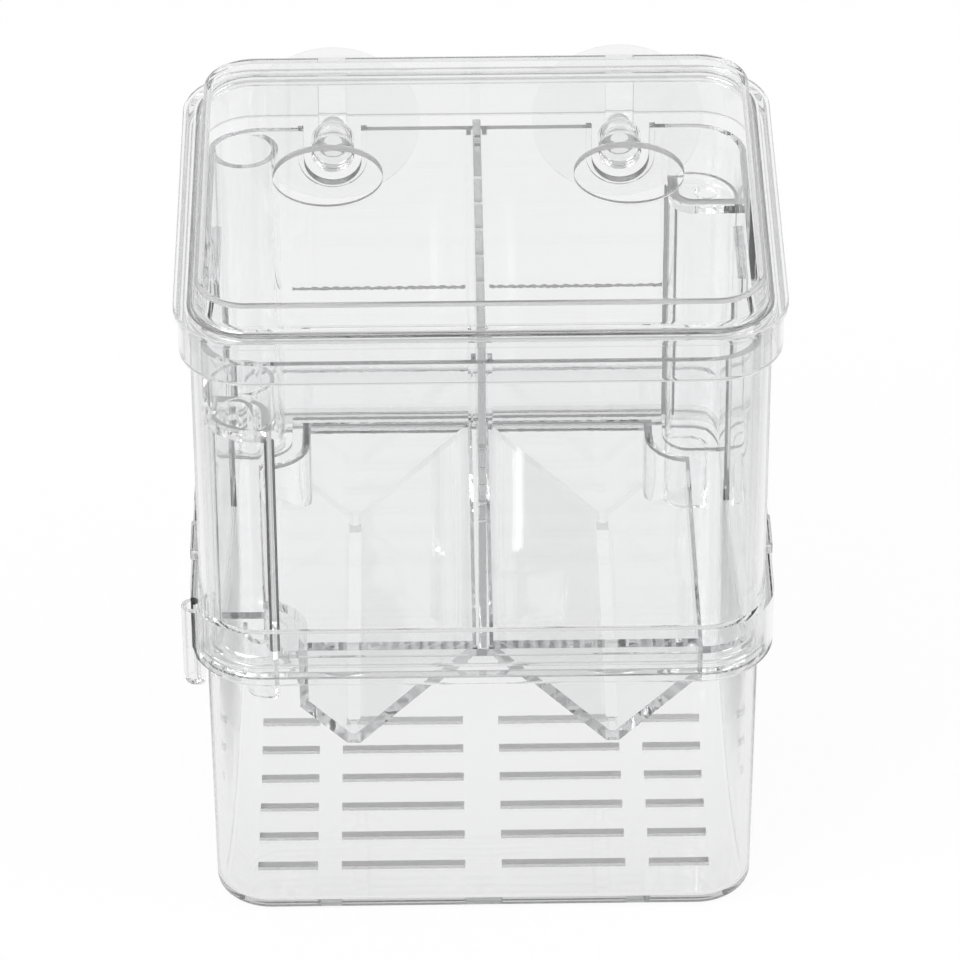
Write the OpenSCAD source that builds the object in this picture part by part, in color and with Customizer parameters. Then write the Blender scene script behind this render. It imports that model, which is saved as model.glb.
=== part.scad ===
/* [Lid] */
// Width of the lid over its flange
lid_w = 138.5; // [136:0.5:142]
// Depth of the lid over its flange
lid_d = 116; // [114.5:0.5:119]
// Corner radius of the lid's flange
lid_r = 17; // [14:0.5:19]
// Thickness of the lid's plate
lid_t = 1.6; // [1.2:0.1:2]
// Height of the raised middle above the flange
plateau_h = 7; // [4:0.5:9]
// Height of the skirt that goes over the upper box
skirt_h = 12.4; // [9:0.1:12.6]
// Radius of the two feeding holes
hole_r = 12.6; // [9:0.1:14]
// Distance of a feeding hole from the middle
hole_x = 34.6; // [28:0.1:38]

/* [Upper box] */
// Width of the upper box
box_w = 131.6; // [131:0.1:132]
// Depth of the upper box
box_d = 109.8; // [109:0.1:109.9]
// Corner radius of the upper box
box_r = 14.8; // [13:0.1:16]
// Thickness of the box walls
wall = 1.8; // [1.5:0.1:2]
// Height of the upper box's rim over the table
rim_z = 165; // [160:0.5:175]
// Width of the slots that hold the necks of the cups
neck_slot = 6.6; // [6.4:0.1:7]

/* [Lower box] */
// Width of the lower box at its base
base_w = 128; // [125:0.1:128]
// Depth of the lower box at its base
base_d = 108; // [105:0.1:109]
// Corner radius of the lower box at its base
base_r = 13.3; // [11:0.1:13.6]
// Height of the seat that the upper box stands on
seat_z = 71.3; // [66:0.1:78]
// Height of the collar over that seat
collar_h = 13.9; // [8:0.1:16]
// Distance between two rows of slots in the floor
row_pitch = 11.25; // [9:0.05:12]
// Width of one slot in the floor
slot_w = 2; // [1.6:0.1:3]

/* [Tray] */
// Width of the tray
tray_w = 126.8; // [126.4:0.1:127.2]
// Depth of the tray
tray_d = 97.2; // [94:0.1:97.6]
// Thickness of the tray's walls
tray_t = 1.6; // [1.4:0.1:1.8]
// Height of the tray's rim over the table
tray_z = 158; // [154:0.1:160]
// Slope of the trough walls in degrees
trough_slope = 45; // [44:0.5:48]
// Width of the slit along the bottom of a trough
slit_w = 3; // [2:0.1:3.4]
// Thickness of the divider
divider_t = 1.9; // [1.5:0.1:2]

/* [Suction cups] */
// Radius of a cup
cup_r = 20.8; // [16:0.1:22]
// Distance of a cup from the middle
cup_x = 34.2; // [28:0.1:38]
// Height of the cups' axes over the table
cup_z = 150; // [148:0.1:150.4]

/* [Hidden] */
$fn = 96;
eps = 0.5;
clear = "#eef1f2";
soft_clear = "#e6e9ea";

// Lid heights
flange_z = rim_z + lid_t;
flange_t = 1.9;
flange_over = 0.95;
skirt_t = 1.6;
plateau_in = 5.2;
plateau_lean = 0.5;
plateau_edge = 1.2;
hole_y = 0.8;

// Upper box
lip_t = 2;
lip_w = 2.2;
stop_l = 12;
stop_y = -28;
stop_t = 2.4;
stop_h = 3;

// Lower box: the wall leans out by wall_lean on its way up to the shoulder, and the
// collar follows the upper box with collar_gap between them
floor_t = 2;
foot_r = 2.6;
inner_foot_r = 1.8;
wall_lean = 0.5;
shoulder_z = seat_z - 4.2;
shoulder_top = seat_z - 0.9;
collar_t = 1.8;
collar_gap = 0.4;
collar_w = box_w + 2 * (collar_gap + collar_t);
collar_d = box_d + 2 * (collar_gap + collar_t);
collar_r = box_r + collar_gap + collar_t;
seat_in = 4.3;
shoulder_in = 3.7;
wall_top_in = 0.9;
rows = 6;
rows_y = -9.9;
long_slot = [4.4, 34.2];
short_slot = [39.9, 54.4];
lug_r = 2.8;
lug_in = 64;
lug_out = 70;
lug_y = -44;
lug_bottom = 62;
lug_top = 84;
lug_well_r = 1.5;
lug_well_depth = 8;

// Tray
rear_gap = 8.5;
tray_y = box_d / 2 - wall - rear_gap - tray_d / 2;
tray_r = 12.6;
tray_foot_r = 1.2;
tray_bottom = seat_z + lip_t;
ledge_t = 2;
ledge_w = 1;
ledge_z = tray_bottom + ledge_t;
tray_front = tray_y - tray_d / 2;
tray_back = tray_y + tray_d / 2;
notch_r = 6.85;
notch_z = cup_z + 0.6;
notch_rib = 1.3;
notch_rib_out = 0.8;
rail_gap = divider_t + 0.7;
rail_t = 1.1;
rail_out = 2.5;
pad_t = 2;
pad_l = 31;
pad_y = 21.5;
pad_top = 139.3;
front_post = [17.6, 15.9];
back_post = [18, 15.9];
post_r = 6;
post_in = 0.1;
post_step = 7.4;
post_bottom = 57;
post_rim = 1.4;
post_foot_z = tray_bottom + tray_foot_r + 0.1;
post_cap = 1.6;
tube_hole_r = 2.75;
front_post_top = 139;
back_post_top = 145.4;
riser_r = 8.2;
riser_top = 157.2;
riser_space = [17.6, 17.2];
ring_r = 7.3;
ring_top = 149;
ring_spot = [9.4, 8.5];

// Trough floor
plate_t = 2;
plate_gap = 0.15;
plate_top = ledge_z + plate_t;
trough_x = 30.4;
trough_flat = 3;
trough_bottom = 48;
trough_end_gap = 0.3;
trough_out = 51;
trough_t = 2;
trough_front = tray_front + tray_t + ledge_w + trough_end_gap;
trough_back = tray_back - tray_t - ledge_w - trough_end_gap;
slit_l = 78;
post_clear = 0.5;
trough_clear = 3;

// Divider
divider_top = 161;
divider_gap = 0.2;
comb_slots = 5;
comb_pitch = 11.05;
comb_w = 1;
comb_bottom = 103;
comb_y = -4.9;

// Suction cups
knob_front = 45.8;
knob_r = 5.1;
knob_flange_r = 5.1;
knob_waist_r = 3.9;
knob_disc_t = 2.2;
knob_gap = 0.3;
neck_r = 2.9;
dome_y = 58.4;
dome_h = 2.6;
dome_t = 1.1;
dome_sphere = (cup_r * cup_r + dome_h * dome_h) / (2 * dome_h);

// Rounded rectangle about the origin
module rounded_rect(w, d, r) {
    square([w - 2 * r, d], center = true);
    square([w, d - 2 * r], center = true);
    for (sx = [-1, 1], sy = [-1, 1]) {
        translate([sx * (w / 2 - r), sy * (d / 2 - r)]) circle(r);
    }
}

// Upright block with rounded corners, standing at height z
module block(w, d, r, z, h) {
    translate([0, 0, z]) linear_extrude(h) rounded_rect(w, d, r);
}

// Sweeps a profile round a rounded rectangle: the profile's x is 0 on the
// corner's axis and r on the rectangle, and its y is the height
module around(w, d, r) {
    for (turn = [0, 180]) {
        rotate(turn) {
            translate([w / 2 - r, d / 2 - r, 0]) rotate_extrude(angle = 90) children();
            translate([r - w / 2, d / 2 - r, 0]) rotate(90) rotate_extrude(angle = 90) children();
            translate([w / 2 - r, 0, 0]) rotate([90, 0, 0]) {
                linear_extrude(d - 2 * r, center = true) children();
            }
            translate([0, d / 2 - r, 0]) rotate([90, 0, 90]) {
                linear_extrude(w - 2 * r, center = true) children();
            }
        }
    }
}

// Lies along +Y: turns a body of revolution about Z into one about Y
module along_y(x, z) {
    translate([x, 0, z]) rotate([-90, 0, 0]) children();
}

// The piece between a corner at [x, z] and a circle of radius r in it: it
// rounds an outer corner when cut away and an inner one when added
module corner_piece(x, z, r) {
    translate([x - r, z]) difference() {
        translate([0, -eps]) square([r + eps, r + eps]);
        translate([0, r]) circle(r);
    }
}

// Wall profile of the lower box with its foot: its top leans out to the seat
module lower_profile() {
    r = base_r;
    out_top = r + wall_lean;
    difference() {
        polygon([
            [0, 0], [r, 0], [out_top, shoulder_z], [out_top, seat_z], [out_top - wall_top_in, seat_z],
            [out_top - wall, shoulder_z], [r - wall, floor_t], [0, floor_t]
        ]);
        corner_piece(r, 0, foot_r);
    }
    corner_piece(r - wall, floor_t, inner_foot_r);
}

// Profile of the shoulder, the seat and the collar that stands round the upper box
module collar_profile() {
    r = collar_r;
    polygon([
        [r - seat_in, shoulder_z], [r - shoulder_in, shoulder_z], [r, shoulder_top], [r, seat_z + collar_h],
        [r - collar_t, seat_z + collar_h], [r - collar_t, seat_z], [r - seat_in, seat_z]
    ]);
}

// One row of slots, mirrored about the middle
module slot_row() {
    for (side = [0, 1], span = [long_slot, short_slot]) {
        mirror([side, 0, 0]) translate([span[0], -slot_w / 2, -eps]) {
            cube([span[1] - span[0], slot_w, floor_t + 2 * eps]);
        }
    }
}

// Tab on the outside of the collar, with a rounded outer edge
module lug_shape() {
    linear_extrude(lug_top - lug_bottom) {
        translate([lug_r - lug_out, 0]) circle(lug_r);
        translate([lug_r - lug_out, -lug_r]) square([lug_out - lug_in - lug_r, 2 * lug_r]);
    }
}

module lower_box() {
    color(clear) difference() {
        union() {
            around(base_w, base_d, base_r) lower_profile();
            around(collar_w, collar_d, collar_r) collar_profile();
            translate([0, 0, floor_t / 2]) {
                cube([base_w - 2 * base_r, base_d - 2 * base_r, floor_t], center = true);
            }
            translate([0, lug_y, lug_bottom]) lug_shape();
        }
        for (row = [0 : rows - 1]) {
            translate([0, rows_y + (row - (rows - 1) / 2) * row_pitch, 0]) slot_row();
        }
        translate([lug_r - lug_out, lug_y, lug_top - lug_well_depth]) {
            cylinder(lug_well_depth + eps, r = lug_well_r);
        }
        translate([0, 0, seat_z]) linear_extrude(2 * collar_h) {
            rounded_rect(collar_w - 2 * collar_t, collar_d - 2 * collar_t, collar_r - collar_t);
        }
    }
}

// Slot for the neck of a cup, open at the rim
module neck_notch(width, depth_from, depth_to, z) {
    along_y(0, z) translate([0, 0, depth_from]) cylinder(depth_to - depth_from, d = width);
    translate([-width / 2, depth_from, z]) cube([width, depth_to - depth_from, rim_z]);
}

module upper_box() {
    h = rim_z - seat_z;
    color(clear) difference() {
        union() {
            block(box_w, box_d, box_r, seat_z, h);
            for (side = [0, 1]) {
                mirror([side, 0, 0]) translate([-box_w / 2 - stop_t, stop_y, seat_z + collar_h]) {
                    cube([stop_t + wall / 2, stop_l, stop_h]);
                }
            }
        }
        block(box_w - 2 * wall, box_d - 2 * wall, box_r - wall, seat_z + lip_t, h);
        block(box_w - 2 * (wall + lip_w), box_d - 2 * (wall + lip_w), box_r - wall - lip_w, seat_z - eps, h);
        for (side = [-1, 1]) {
            translate([side * cup_x, 0, 0]) {
                neck_notch(neck_slot, box_d / 2 - wall - eps, box_d / 2 + eps, cup_z);
            }
        }
    }
}

// Takes the corner off at the origin
module round_off(r) {
    difference() {
        translate([-eps, -eps]) square([r + eps, r + eps]);
        translate([r, r]) circle(r);
    }
}

// Foot print of a corner post, o in from the tray's two outsides and i in
// from the two faces that look into the tray
module post_shape(size, o, i) {
    w = size[0] - o - i;
    d = size[1] - o - i;
    translate([o, o]) difference() {
        square([w, d]);
        round_off(tray_r - o);
        translate([w, d]) rotate(180) round_off(post_r - i);
    }
}

// Puts a foot print at a corner of the tray: sx and sy choose the corner
module at_corner(sx, sy) {
    translate([0, tray_y, 0]) mirror([sx > 0 ? 1 : 0, 0, 0]) mirror([0, sy > 0 ? 1 : 0, 0]) {
        translate([-tray_w / 2, -tray_d / 2, 0]) children();
    }
}

// Hollow corner post with a cap below its rim and a hole for an air tube.
// Below the tray it steps in, clear of the lip that carries the tray
module post(size, top) {
    cap = top - post_rim - post_cap;
    difference() {
        union() {
            translate([0, 0, post_foot_z]) linear_extrude(top - post_foot_z) post_shape(size, post_in, 0);
            translate([0, 0, post_bottom]) linear_extrude(post_foot_z - post_bottom + eps) {
                post_shape(size, post_step, 0);
            }
        }
        translate([0, 0, ledge_z]) linear_extrude(cap - ledge_z) {
            post_shape(size, post_in + tray_t, tray_t);
        }
        translate([0, 0, post_bottom + tray_t]) linear_extrude(ledge_z - post_bottom - tray_t + eps) {
            post_shape(size, post_step + tray_t, tray_t);
        }
        translate([0, 0, top - post_rim]) linear_extrude(post_rim + eps) {
            post_shape(size, post_in + tray_t, tray_t);
        }
        translate([size[0] / 2, size[1] / 2, cap - eps]) cylinder(post_cap + 2 * eps, r = tube_hole_r);
    }
}

// Round riser tube with its floor at z, open at the top
module riser(z, top) {
    difference() {
        translate([0, 0, z]) cylinder(top - z, r = riser_r);
        translate([0, 0, z + ledge_t]) cylinder(top - z, r = riser_r - tray_t);
    }
}

// Ring that stands on the cap of the front post
module post_ring() {
    difference() {
        translate([0, 0, front_post_top - post_rim - post_cap / 2]) {
            cylinder(ring_top - front_post_top + post_rim + post_cap / 2, r = ring_r);
        }
        translate([0, 0, front_post_top - post_rim - post_cap]) {
            cylinder(ring_top - front_post_top + 2 * post_cap + post_rim, r = ring_r - tray_t);
        }
    }
}

module rails() {
    reach = rail_out + tray_t / 2;
    for (y = [tray_front + tray_t / 2, tray_back - tray_t / 2 - reach], side = [-1, 1]) {
        translate([side * (rail_gap + rail_t) / 2 - rail_t / 2, y, plate_top]) {
            cube([rail_t, reach, tray_z - plate_top]);
        }
    }
}

module side_pads() {
    for (side = [0, 1]) {
        mirror([side, 0, 0]) translate([tray_w / 2 - tray_t - pad_t, pad_y - pad_l / 2, plate_top]) {
            cube([pad_t + tray_t / 2, pad_l, pad_top - plate_top]);
        }
    }
}

// Ribs round the notches in the back wall, on the side of the cups
module notch_ribs() {
    for (side = [-1, 1]) {
        translate([side * cup_x, tray_back - tray_t / 2, 0]) {
            along_y(0, notch_z) cylinder(notch_rib_out + tray_t / 2, r = notch_r + notch_rib);
            translate([-notch_r - notch_rib, 0, notch_z]) {
                cube([2 * (notch_r + notch_rib), notch_rib_out + tray_t / 2, tray_z - notch_z]);
            }
        }
    }
}

// Wall profile of the tray with its rounded foot and the ledge under the floor
module tray_profile() {
    r = tray_r;
    ledge_in = r - tray_t - ledge_w;
    difference() {
        polygon([
            [ledge_in, tray_bottom], [r, tray_bottom], [r, tray_z], [r - tray_t, tray_z],
            [r - tray_t, ledge_z], [ledge_in, ledge_z]
        ]);
        corner_piece(r, tray_bottom, tray_foot_r);
    }
}

module spawning_tray() {
    color(clear) difference() {
        union() {
            translate([0, tray_y, 0]) around(tray_w, tray_d, tray_r) tray_profile();
            at_corner(-1, -1) post(front_post, front_post_top);
            at_corner(1, 1) post(back_post, back_post_top);
            at_corner(-1, 1) translate([riser_r + post_in, riser_r + post_in, 0]) {
                riser(post_foot_z, riser_top);
            }
            at_corner(-1, -1) translate([ring_spot[0], ring_spot[1], 0]) post_ring();
            rails();
            side_pads();
            notch_ribs();
        }
        for (side = [-1, 1]) {
            translate([side * cup_x, 0, 0]) {
                neck_notch(2 * notch_r, tray_back - tray_t - eps, tray_back + notch_rib_out + eps, notch_z);
            }
        }
    }
}

// Outline of one trough seen from the front, grown inwards by t
module trough_outline(t) {
    lift = t / cos(trough_slope);
    flat = trough_flat / 2 - t * tan(trough_slope / 2);
    low = trough_bottom + t;
    rise = plate_top + eps - low;
    inner_x = trough_x - flat - rise / tan(trough_slope);
    outer_z = low + (trough_out - t - trough_x - flat) * tan(trough_slope);
    polygon([
        [inner_x, plate_top + eps], [trough_x - flat, low], [trough_x + flat, low],
        [trough_out - t, outer_z], [trough_out - t, plate_top + eps]
    ]);
}

// Room that the posts take out of the trough floor, grown by g
module post_room(g) {
    for (corner = [[-1, -1, front_post], [-1, 1, riser_space], [1, 1, back_post]]) {
        at_corner(corner[0], corner[1]) translate([-eps, -eps, trough_bottom - 2 * eps]) {
            w = corner[2][0] + eps + g;
            d = corner[2][1] + eps + g;
            linear_extrude(plate_top) difference() {
                square([w, d]);
                translate([w, d]) rotate(180) round_off(post_r + g);
            }
        }
    }
}

// Both troughs as one solid, with walls t thinner than the outside
module troughs(t) {
    for (side = [0, 1]) {
        mirror([side, 0, 0]) translate([0, trough_back - t, 0]) rotate([90, 0, 0]) {
            linear_extrude(trough_back - trough_front - 2 * t) trough_outline(t);
        }
    }
}

module trough_floor() {
    color(clear) difference() {
        union() {
            difference() {
                translate([0, tray_y, 0]) {
                    block(tray_w - 2 * (tray_t + plate_gap), tray_d - 2 * (tray_t + plate_gap),
                          tray_r - tray_t - plate_gap, ledge_z, plate_t);
                }
                post_room(post_clear);
            }
            difference() {
                intersection() {
                    troughs(0);
                    translate([0, 0, plate_top / 2]) cube([tray_w, tray_d * 2, plate_top], center = true);
                }
                post_room(trough_clear);
            }
        }
        difference() {
            troughs(trough_t);
            post_room(trough_clear + trough_t);
        }
        for (side = [-1, 1]) {
            translate([side * trough_x, (trough_front + trough_back) / 2, trough_bottom]) {
                cube([slit_w, slit_l, 4 * trough_t], center = true);
            }
        }
    }
}

module divider() {
    front = tray_front + tray_t + divider_gap;
    back = tray_back - tray_t - divider_gap;
    color(clear) difference() {
        translate([-divider_t / 2, front, plate_top]) {
            cube([divider_t, back - front, divider_top - plate_top]);
        }
        for (i = [0 : comb_slots - 1]) {
            translate([-divider_t, comb_y + (i - (comb_slots - 1) / 2) * comb_pitch - comb_w / 2, comb_bottom]) {
                cube([2 * divider_t, comb_w, divider_top]);
            }
        }
    }
}

// Profile of the lid from its middle plate out to the skirt
module lid_profile() {
    r = lid_r;
    top = flange_z + plateau_h;
    under = flange_z - lid_t;
    polygon([
        [0, top], [r - plateau_in - plateau_edge, top], [r - plateau_in, top - plateau_edge],
        [r - plateau_in + plateau_lean, flange_z], [r, flange_z], [r, flange_z - flange_t],
        [r - flange_over, flange_z - flange_t], [r - flange_over, flange_z - skirt_h],
        [r - flange_over - skirt_t, flange_z - skirt_h], [r - flange_over - skirt_t, under],
        [r - plateau_in - lid_t + plateau_lean, under], [r - plateau_in - lid_t, top - lid_t], [0, top - lid_t]
    ]);
}

module lid() {
    top = flange_z + plateau_h;
    color(clear) difference() {
        union() {
            around(lid_w, lid_d, lid_r) lid_profile();
            translate([0, 0, top - lid_t / 2]) {
                cube([lid_w - 2 * lid_r, lid_d - 2 * lid_r, lid_t], center = true);
            }
        }
        for (side = [-1, 1]) {
            translate([side * hole_x, hole_y, top - lid_t - eps]) cylinder(lid_t + 2 * eps, r = hole_r);
        }
    }
}

// Profile of a cup about its axis: knob, neck and thin domed disc
module cup_profile() {
    knob_back = box_d / 2 - wall - knob_gap;
    square_from = [knob_front, knob_front + knob_disc_t, knob_back - knob_disc_t];
    translate([0, square_from[0]]) square([knob_r, knob_disc_t]);
    translate([0, square_from[1] - eps]) square([knob_waist_r, square_from[2] - square_from[1] + 2 * eps]);
    translate([0, square_from[2]]) square([knob_flange_r, knob_disc_t]);
    translate([0, knob_back - eps]) square([neck_r, dome_y + dome_t - knob_back]);
    intersection() {
        difference() {
            translate([0, dome_y + dome_sphere]) circle(dome_sphere, $fn = 360);
            translate([0, dome_y + dome_sphere + dome_t]) circle(dome_sphere, $fn = 360);
        }
        translate([0, dome_y - eps]) square([cup_r, dome_h + dome_t]);
    }
}

module cup(side) {
    color(soft_clear) along_y(side * cup_x, cup_z) rotate_extrude() cup_profile();
}

module cup_left() {
    cup(-1);
}

module cup_right() {
    cup(1);
}

lower_box();
upper_box();
spawning_tray();
trough_floor();
divider();
lid();
cup_left();
cup_right();
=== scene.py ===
"""Clear fish breeding box: nested boxes, spawning tray, divider, lid and suction cups."""
import logging
import math
from dataclasses import dataclass, field
from enum import Enum
from typing import Callable, Iterable, Sequence

import bmesh
import bpy
from mathutils import Matrix, Vector


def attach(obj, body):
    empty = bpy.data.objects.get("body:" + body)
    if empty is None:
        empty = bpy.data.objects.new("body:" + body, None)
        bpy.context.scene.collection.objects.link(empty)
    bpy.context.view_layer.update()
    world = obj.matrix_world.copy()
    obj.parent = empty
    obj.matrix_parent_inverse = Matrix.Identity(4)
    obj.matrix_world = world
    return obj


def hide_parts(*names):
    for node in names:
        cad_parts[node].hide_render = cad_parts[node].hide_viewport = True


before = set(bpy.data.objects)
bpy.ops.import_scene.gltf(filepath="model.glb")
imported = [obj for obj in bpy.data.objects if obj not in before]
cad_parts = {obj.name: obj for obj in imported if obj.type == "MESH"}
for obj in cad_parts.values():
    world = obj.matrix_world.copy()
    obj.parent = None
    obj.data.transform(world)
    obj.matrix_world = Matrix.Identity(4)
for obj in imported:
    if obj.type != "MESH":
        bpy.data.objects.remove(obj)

LOG = logging.getLogger("breeding_box")
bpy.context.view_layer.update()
MM = 0.001
ARC_STEPS = 14
AIR = 0.06  # gap in millimetres between pieces that rest on each other
Point = tuple[float, float]


class Corner(Enum):
    """The four corners of a box seen from above."""

    FRONT_LEFT = (-1, -1)
    FRONT_RIGHT = (1, -1)
    BACK_RIGHT = (1, 1)
    BACK_LEFT = (-1, 1)


class Side(Enum):
    """Left or right of the middle, seen from the front."""

    LEFT = -1
    RIGHT = 1


class Join(Enum):
    """What one shape does to another."""

    ADD = "UNION"
    CUT = "DIFFERENCE"


# Finishes; three grey ones are painted shade


@dataclass(frozen=True)
class ClearPlastic:
    """Clear plastic that darkens along a long way through it.

    Its surface has the slow waviness of a moulding, and a fainter fine ripple.
    """

    name: str
    tint: tuple[float, float, float]
    depth_colour: tuple[float, float, float]
    depth_density: float
    ior: float
    roughness: float
    wave_scale: float
    wave_height: float
    ripple_scale: float
    ripple_height: float
    haze: float = 0.0
    cloud: float = 0.997

    def build(self) -> bpy.types.Material:
        """Make the material.

        Returns:
            The finished node material.
        """
        mat = bpy.data.materials.new(self.name)
        mat.use_nodes = True
        nodes, links = mat.node_tree.nodes, mat.node_tree.links
        shader = nodes["Principled BSDF"]
        shader.inputs["Transmission Weight"].default_value = 1.0
        shader.inputs["IOR"].default_value = self.ior
        place = nodes.new("ShaderNodeTexCoord")
        wave = nodes.new("ShaderNodeTexNoise")
        wave.inputs["Scale"].default_value = self.wave_scale
        wave.inputs["Detail"].default_value = 1.0
        links.new(place.outputs["Object"], wave.inputs["Vector"])
        ripple = nodes.new("ShaderNodeTexNoise")
        ripple.inputs["Scale"].default_value = self.ripple_scale
        ripple.inputs["Detail"].default_value = 3.0
        links.new(place.outputs["Object"], ripple.inputs["Vector"])
        low = nodes.new("ShaderNodeBump")
        low.inputs["Strength"].default_value = 1.0
        low.inputs["Distance"].default_value = self.wave_height
        links.new(wave.outputs["Fac"], low.inputs["Height"])
        fine = nodes.new("ShaderNodeBump")
        fine.inputs["Strength"].default_value = 1.0
        fine.inputs["Distance"].default_value = self.ripple_height
        links.new(ripple.outputs["Fac"], fine.inputs["Height"])
        links.new(low.outputs["Normal"], fine.inputs["Normal"])
        links.new(fine.outputs["Normal"], shader.inputs["Normal"])
        polish = nodes.new("ShaderNodeMapRange")
        polish.inputs["From Min"].default_value = 0.35
        polish.inputs["From Max"].default_value = 0.75
        polish.inputs["To Min"].default_value = self.roughness
        polish.inputs["To Max"].default_value = self.roughness * 2.0 + self.haze
        links.new(ripple.outputs["Fac"], polish.inputs["Value"])
        links.new(polish.outputs["Result"], shader.inputs["Roughness"])
        cloud = nodes.new("ShaderNodeMix")
        cloud.data_type = "RGBA"
        cloud.inputs["A"].default_value = (*self.tint, 1.0)
        cloud.inputs["B"].default_value = (*(c * self.cloud for c in self.tint), 1.0)
        links.new(wave.outputs["Fac"], cloud.inputs["Factor"])
        links.new(cloud.outputs["Result"], shader.inputs["Base Color"])
        depth = nodes.new("ShaderNodeVolumeAbsorption")
        depth.inputs["Color"].default_value = (*self.depth_colour, 1.0)
        depth.inputs["Density"].default_value = self.depth_density
        links.new(depth.outputs["Volume"], nodes["Material Output"].inputs["Volume"])
        return mat


@dataclass(frozen=True)
class MattWall:
    """Matt moulded face seen through the clear plastic: a near-white bond, or a grey face whose grey is
    painted shade for light that the real plastic bends away at edges, slots and beads.
    """

    name: str
    light: float
    dark: float
    through: float
    grain_scale: float
    grain_height: float

    def build(self) -> bpy.types.Material:
        """Make the material.

        Returns:
            The finished node material.
        """
        mat = bpy.data.materials.new(self.name)
        mat.use_nodes = True
        nodes, links = mat.node_tree.nodes, mat.node_tree.links
        shader = nodes["Principled BSDF"]
        shader.inputs["Transmission Weight"].default_value = self.through
        shader.inputs["Roughness"].default_value = 0.55
        shader.inputs["IOR"].default_value = 1.5
        place = nodes.new("ShaderNodeTexCoord")
        grain = nodes.new("ShaderNodeTexNoise")
        grain.inputs["Scale"].default_value = self.grain_scale
        grain.inputs["Detail"].default_value = 4.0
        links.new(place.outputs["Object"], grain.inputs["Vector"])
        # Grey of the face, varied by the grain; below white it is painted shade that darkens what shows
        # through the face.
        shade = nodes.new("ShaderNodeMix")
        shade.data_type = "RGBA"
        shade.inputs["A"].default_value = (self.dark, self.dark, self.dark, 1.0)
        shade.inputs["B"].default_value = (self.light, self.light, self.light, 1.0)
        links.new(grain.outputs["Fac"], shade.inputs["Factor"])
        links.new(shade.outputs["Result"], shader.inputs["Base Color"])
        bump = nodes.new("ShaderNodeBump")
        bump.inputs["Strength"].default_value = 1.0
        bump.inputs["Distance"].default_value = self.grain_height
        links.new(grain.outputs["Fac"], bump.inputs["Height"])
        links.new(bump.outputs["Normal"], shader.inputs["Normal"])
        return mat


BOX_FINISH = ClearPlastic(
    name="clear_box_polish", tint=(0.997, 0.998, 0.999),
    depth_colour=(0.25, 0.26, 0.27), depth_density=6.0, ior=1.5, roughness=0.004,
    wave_scale=45.0, wave_height=0.00003, ripple_scale=700.0, ripple_height=0.000001,
)
CUP_FINISH = ClearPlastic(
    name="soft_cup", tint=(0.985, 0.986, 0.987),
    depth_colour=(0.3, 0.31, 0.32), depth_density=12.0, ior=1.42, roughness=0.05, haze=0.08,
    wave_scale=90.0, wave_height=0.00006, ripple_scale=500.0, ripple_height=0.000006,
)
# Painted shade: light grey tint on the floor slots' walls and the posts' rim tops, standing in for light
# that the clear plastic bends away there.
LIGHT_GREY_PAINTED_SHADE = MattWall(
    name="painted_shade_light_grey", light=0.72, dark=0.62, through=1.0, grain_scale=900.0, grain_height=0.00001,
)
# Painted shade: mid grey tint on the feeding holes' walls, the neck slots' walls, the upper box's back rim,
# the tray's notch walls and its lower back bead, standing in for light that the clear plastic bends away at
# these edges.
MID_GREY_PAINTED_SHADE = MattWall(
    name="painted_shade_mid_grey", light=0.62, dark=0.5, through=1.0, grain_scale=700.0, grain_height=0.00002,
)
# Painted shade: near-black tint on the small fillet beads beside the posts and on the upper back bead,
# standing in for the dark lines that light bending in the real plastic makes there.
NEAR_BLACK_PAINTED_SHADE = MattWall(
    name="painted_shade_near_black", light=0.24, dark=0.15, through=1.0, grain_scale=500.0, grain_height=0.00001,
)
BOND_FINISH = MattWall(
    name="bond", light=1.0, dark=0.95, through=1.0, grain_scale=1100.0, grain_height=0.00002,
)


# Shapes made in edit mode


@dataclass(frozen=True)
class Outline:
    """A rectangle seen from above with its own radius at each corner, in millimetres."""

    x0: float
    x1: float
    y0: float
    y1: float
    radii: dict[Corner, float]

    @classmethod
    def centred(cls, w: float, d: float, r: float, y: float = 0.0) -> "Outline":
        """A rectangle with one radius for its four corners.

        Args:
            w: width along x.
            d: depth along y.
            r: radius of the corners.
            y: place of its middle along y.

        Returns:
            The outline.
        """
        return cls(-w / 2, w / 2, y - d / 2, y + d / 2, {c: r for c in Corner})

    def spot(self, corner: Corner) -> Vector:
        """The rectangle's own corner point."""
        sx, sy = corner.value
        return Vector((self.x1 if sx > 0 else self.x0, self.y1 if sy > 0 else self.y0))

    def centre(self, corner: Corner) -> Vector:
        """The middle of the corner's arc."""
        return self.spot(corner) - Vector(corner.value) * self.radii[corner]

    def corner_at(self, here: Vector) -> Corner:
        """The corner that a point of the outline, or of one beside it, belongs to.

        Args:
            here: the point, seen from above.

        Returns:
            Its corner.
        """
        sharp = [c for c in Corner if self.radii[c] < 0.01]
        for corner in sharp:
            gap = here - self.spot(corner)
            if gap.length < 3.0 and abs(gap.x * corner.value[0] - gap.y * corner.value[1]) < 0.02:
                return corner
        for corner in (c for c in Corner if c not in sharp):
            gap = here - self.centre(corner)
            if gap.x * corner.value[0] > -0.02 and gap.y * corner.value[1] > -0.02:
                return corner
        return min(Corner, key=lambda c: (self.spot(c) - here).length)

    def outward(self, here: Vector) -> Vector:
        """Which way a point moves as the outline grows by one.

        Args:
            here: the point, on the outline or beside it.

        Returns:
            The move for an offset of one.
        """
        corner = self.corner_at(here)
        if self.radii[corner] < 0.01:
            return Vector(corner.value)
        return (here - self.centre(corner)).normalized()


def let_go() -> None:
    """Leave edit mode and deselect everything."""
    if bpy.context.object is not None and bpy.context.object.mode != "OBJECT":
        bpy.ops.object.mode_set(mode="OBJECT")
    bpy.ops.object.select_all(action="DESELECT")


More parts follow.
